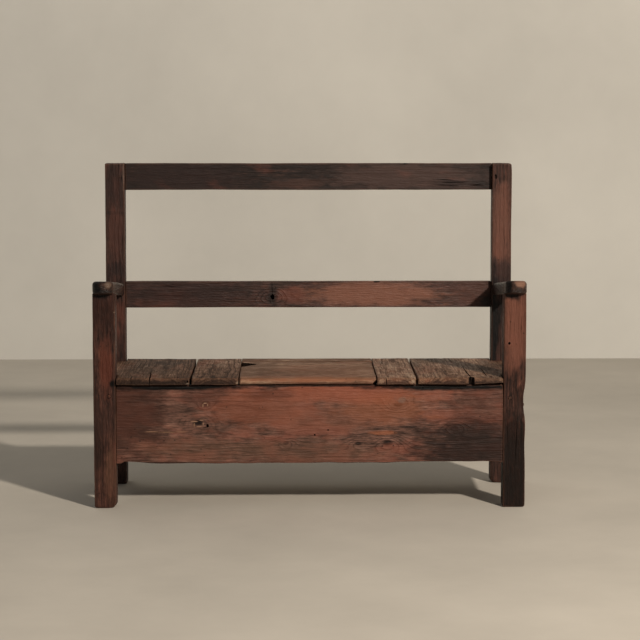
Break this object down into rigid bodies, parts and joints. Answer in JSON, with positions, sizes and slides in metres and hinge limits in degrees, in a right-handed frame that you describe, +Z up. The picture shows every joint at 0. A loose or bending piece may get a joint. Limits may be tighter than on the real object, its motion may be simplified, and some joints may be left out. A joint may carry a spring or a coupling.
{
  "type": "settle bench",
  "caption": "Pegged settle bench with an open two-rail back, sloping arms and a storage box under a board seat whose middle lifts as a pin-hinged lid.",
  "frame": {"origin": "centre of the bench's bounding box in X and Y, at floor level", "axes": "+X along the bench to the right of someone facing its front, the front faces -Y, +Z up"},
  "size_m": [1.4, 0.488, 1.105],
  "materials": {
    "frame_timber": "worn brown stain over softwood, waxed",
    "arm_timber": "handled brown stain, waxed",
    "rail_timber": "worn brown stain, waxed",
    "apron_timber": "remains of red-brown paint on softwood",
    "seat_timber": "worn, dry grey-brown softwood",
    "lid_timber": "worn, dry grey-brown softwood, front edge rubbed bright",
    "box_timber": "unfinished aged softwood",
    "peg_wood": "dark cleft hardwood",
    "iron": "dull dark wrought iron"
  },
  "bodies": {
    "bench": {"front_leg_left": "frame_timber", "front_leg_right": "frame_timber", "rear_post_left": "frame_timber", "rear_post_right": "frame_timber", "arm_left": "arm_timber", "arm_right": "arm_timber", "top_rail": "rail_timber", "mid_rail": "rail_timber", "front_apron": "apron_timber", "rear_apron": "apron_timber", "side_apron_left": "apron_timber", "side_apron_right": "apron_timber", "seat_board_left": "seat_timber", "seat_cheek_left": "seat_timber", "seat_cheek_right": "seat_timber", "seat_board_right": "seat_timber", "seat_back_strip": "seat_timber", "bottom_cleat_front": "box_timber", "bottom_cleat_rear": "box_timber", "bottom_board_1": "box_timber", "bottom_board_2": "box_timber", "bottom_board_3": "box_timber", "bottom_board_4": "box_timber", "bottom_board_5": "box_timber", "bottom_board_6": "box_timber", "front_apron_pegs": "peg_wood", "rear_apron_pegs": "peg_wood", "side_apron_pegs": "peg_wood", "top_rail_pegs": "peg_wood", "mid_rail_pegs": "peg_wood", "arm_pegs": "peg_wood", "lid_hinge_pin_left": "iron", "lid_hinge_pin_right": "iron", "seat_nails": "iron", "bottom_nails": "iron", "cleat_nails": "iron"},
    "lid": {"seat_lid": "lid_timber", "lid_batten_left": "box_timber", "lid_batten_right": "box_timber", "lid_nails": "iron"}
  },
  "joints": [
    {"name": "lid_hinge", "type": "hinge", "parent": "bench", "child": "lid", "pos_m": [-0.007, 0.15015, 0.41615], "axis": [-1, 0, 0], "range_deg": [0, 98]}
  ]
}
